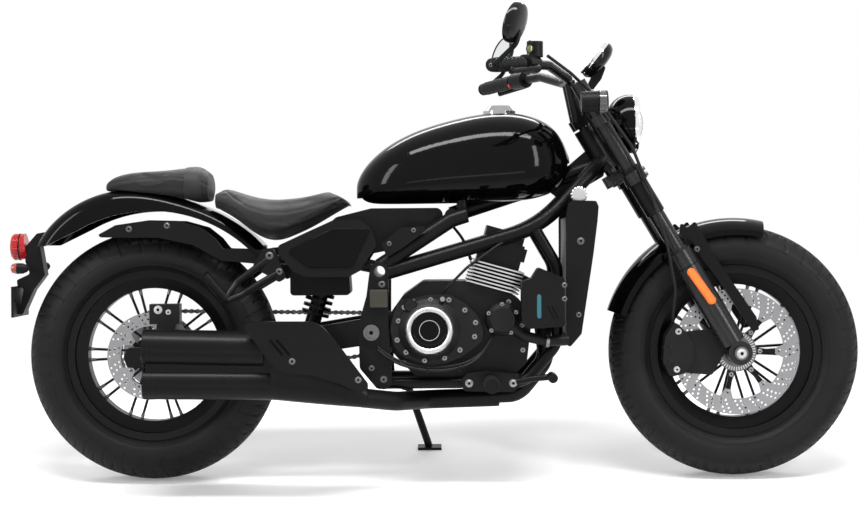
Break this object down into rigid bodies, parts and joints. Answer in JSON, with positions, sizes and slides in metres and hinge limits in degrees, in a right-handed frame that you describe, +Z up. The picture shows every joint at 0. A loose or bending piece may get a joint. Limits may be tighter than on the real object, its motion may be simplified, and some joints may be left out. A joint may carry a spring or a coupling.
{
  "type": "cruiser motorcycle",
  "caption": "Black cruiser motorcycle with a parallel twin engine, wire-spoked wheels and low seats, resting on its side stand",
  "frame": {"origin": "middle of the footprint box, on the ground", "axes": "+X is forward, +Y is the rider's left, +Z is up; the motorcycle leans to its left on its side stand"},
  "size_m": [2.171, 0.9498, 1.2251],
  "materials": {
    "amber_lens": "amber reflector",
    "black_plastic": "moulded black plastic",
    "bright_chrome": "polished",
    "cast_alloy": "dark coated casting",
    "clear_lens": "clear",
    "gloss_black": "gloss black enamel",
    "grip_rubber": "soft ribbed rubber",
    "red_lens": "red",
    "satin_black": "satin black powder coat",
    "seat_cover": "grained dark cover",
    "steel": "brushed",
    "tyre_rubber": "dull black rubber"
  },
  "bodies": {
    "chassis": {"air_box": "black_plastic", "axle_bolts": "steel", "clutch_cable": "steel", "coolant_pump": "cast_alloy", "cross_tube": "satin_black", "cylinder_block": "cast_alloy", "drive_chain": "steel", "engine_case": "cast_alloy", "engine_covers": "cast_alloy", "exhaust_pipes": "satin_black", "fender_struts": "satin_black", "fuel_cap": "bright_chrome", "fuel_tank": "gloss_black", "lower_cradle": "satin_black", "main_frame": "satin_black", "passenger_footpegs": "satin_black", "passenger_seat": "seat_cover", "plate_carrier": "black_plastic", "radiator": "cast_alloy", "radiator_cap": "steel", "radiator_shrouds": "black_plastic", "rear_caliper": "cast_alloy", "rear_fender": "gloss_black", "rear_shock": "satin_black", "rear_signals": "clear_lens", "reservoir_box": "black_plastic", "rider_footpegs": "satin_black", "rider_seat": "seat_cover", "side_covers": "black_plastic", "silencer": "satin_black", "silencer_guard": "satin_black", "swingarm": "satin_black", "tail_lamp": "red_lens", "under_seat_box": "black_plastic"},
    "steering": {"triple_clamps": "satin_black", "fork_tubes": "satin_black", "fork_sliders": "satin_black", "front_axle": "steel", "front_fender": "gloss_black", "fender_braces": "satin_black", "handlebar": "satin_black", "grips": "grip_rubber", "controls": "black_plastic", "mirrors": "satin_black", "headlamp": "gloss_black", "headlamp_lens": "clear_lens", "instrument": "black_plastic", "front_signals": "clear_lens", "fork_reflectors": "amber_lens", "front_caliper": "cast_alloy", "front_hoses": "grip_rubber"},
    "front_wheel": {"front_tyre": "tyre_rubber", "front_rim": "satin_black", "front_disc": "steel"},
    "rear_wheel": {"rear_tyre": "tyre_rubber", "rear_rim": "satin_black", "rear_disc": "steel", "rear_sprocket": "steel"},
    "side_stand": {"side_stand": "satin_black"}
  },
  "joints": [
    {"name": "steering_turn", "type": "hinge", "parent": "chassis", "child": "steering", "pos_m": [0.41892, -0.04404, 0.83009], "axis": [-0.5075, 0.1348, 0.851], "range_deg": [-38, 38]},
    {"name": "front_wheel_spin", "type": "hinge", "parent": "steering", "child": "front_wheel", "pos_m": [0.76555, -0.1253, 0.31698], "axis": [0, 0.9877, -0.1564], "continuous": true},
    {"name": "rear_wheel_spin", "type": "hinge", "parent": "chassis", "child": "rear_wheel", "pos_m": [-0.71945, -0.1253, 0.31698], "axis": [0, 0.9877, -0.1564], "continuous": true},
    {"name": "side_stand_swing", "type": "hinge", "parent": "chassis", "child": "side_stand", "pos_m": [-0.07945, 0.02156, 0.20867], "axis": [0.0483, 0.93, 0.3643], "range_deg": [0, 108]}
  ]
}
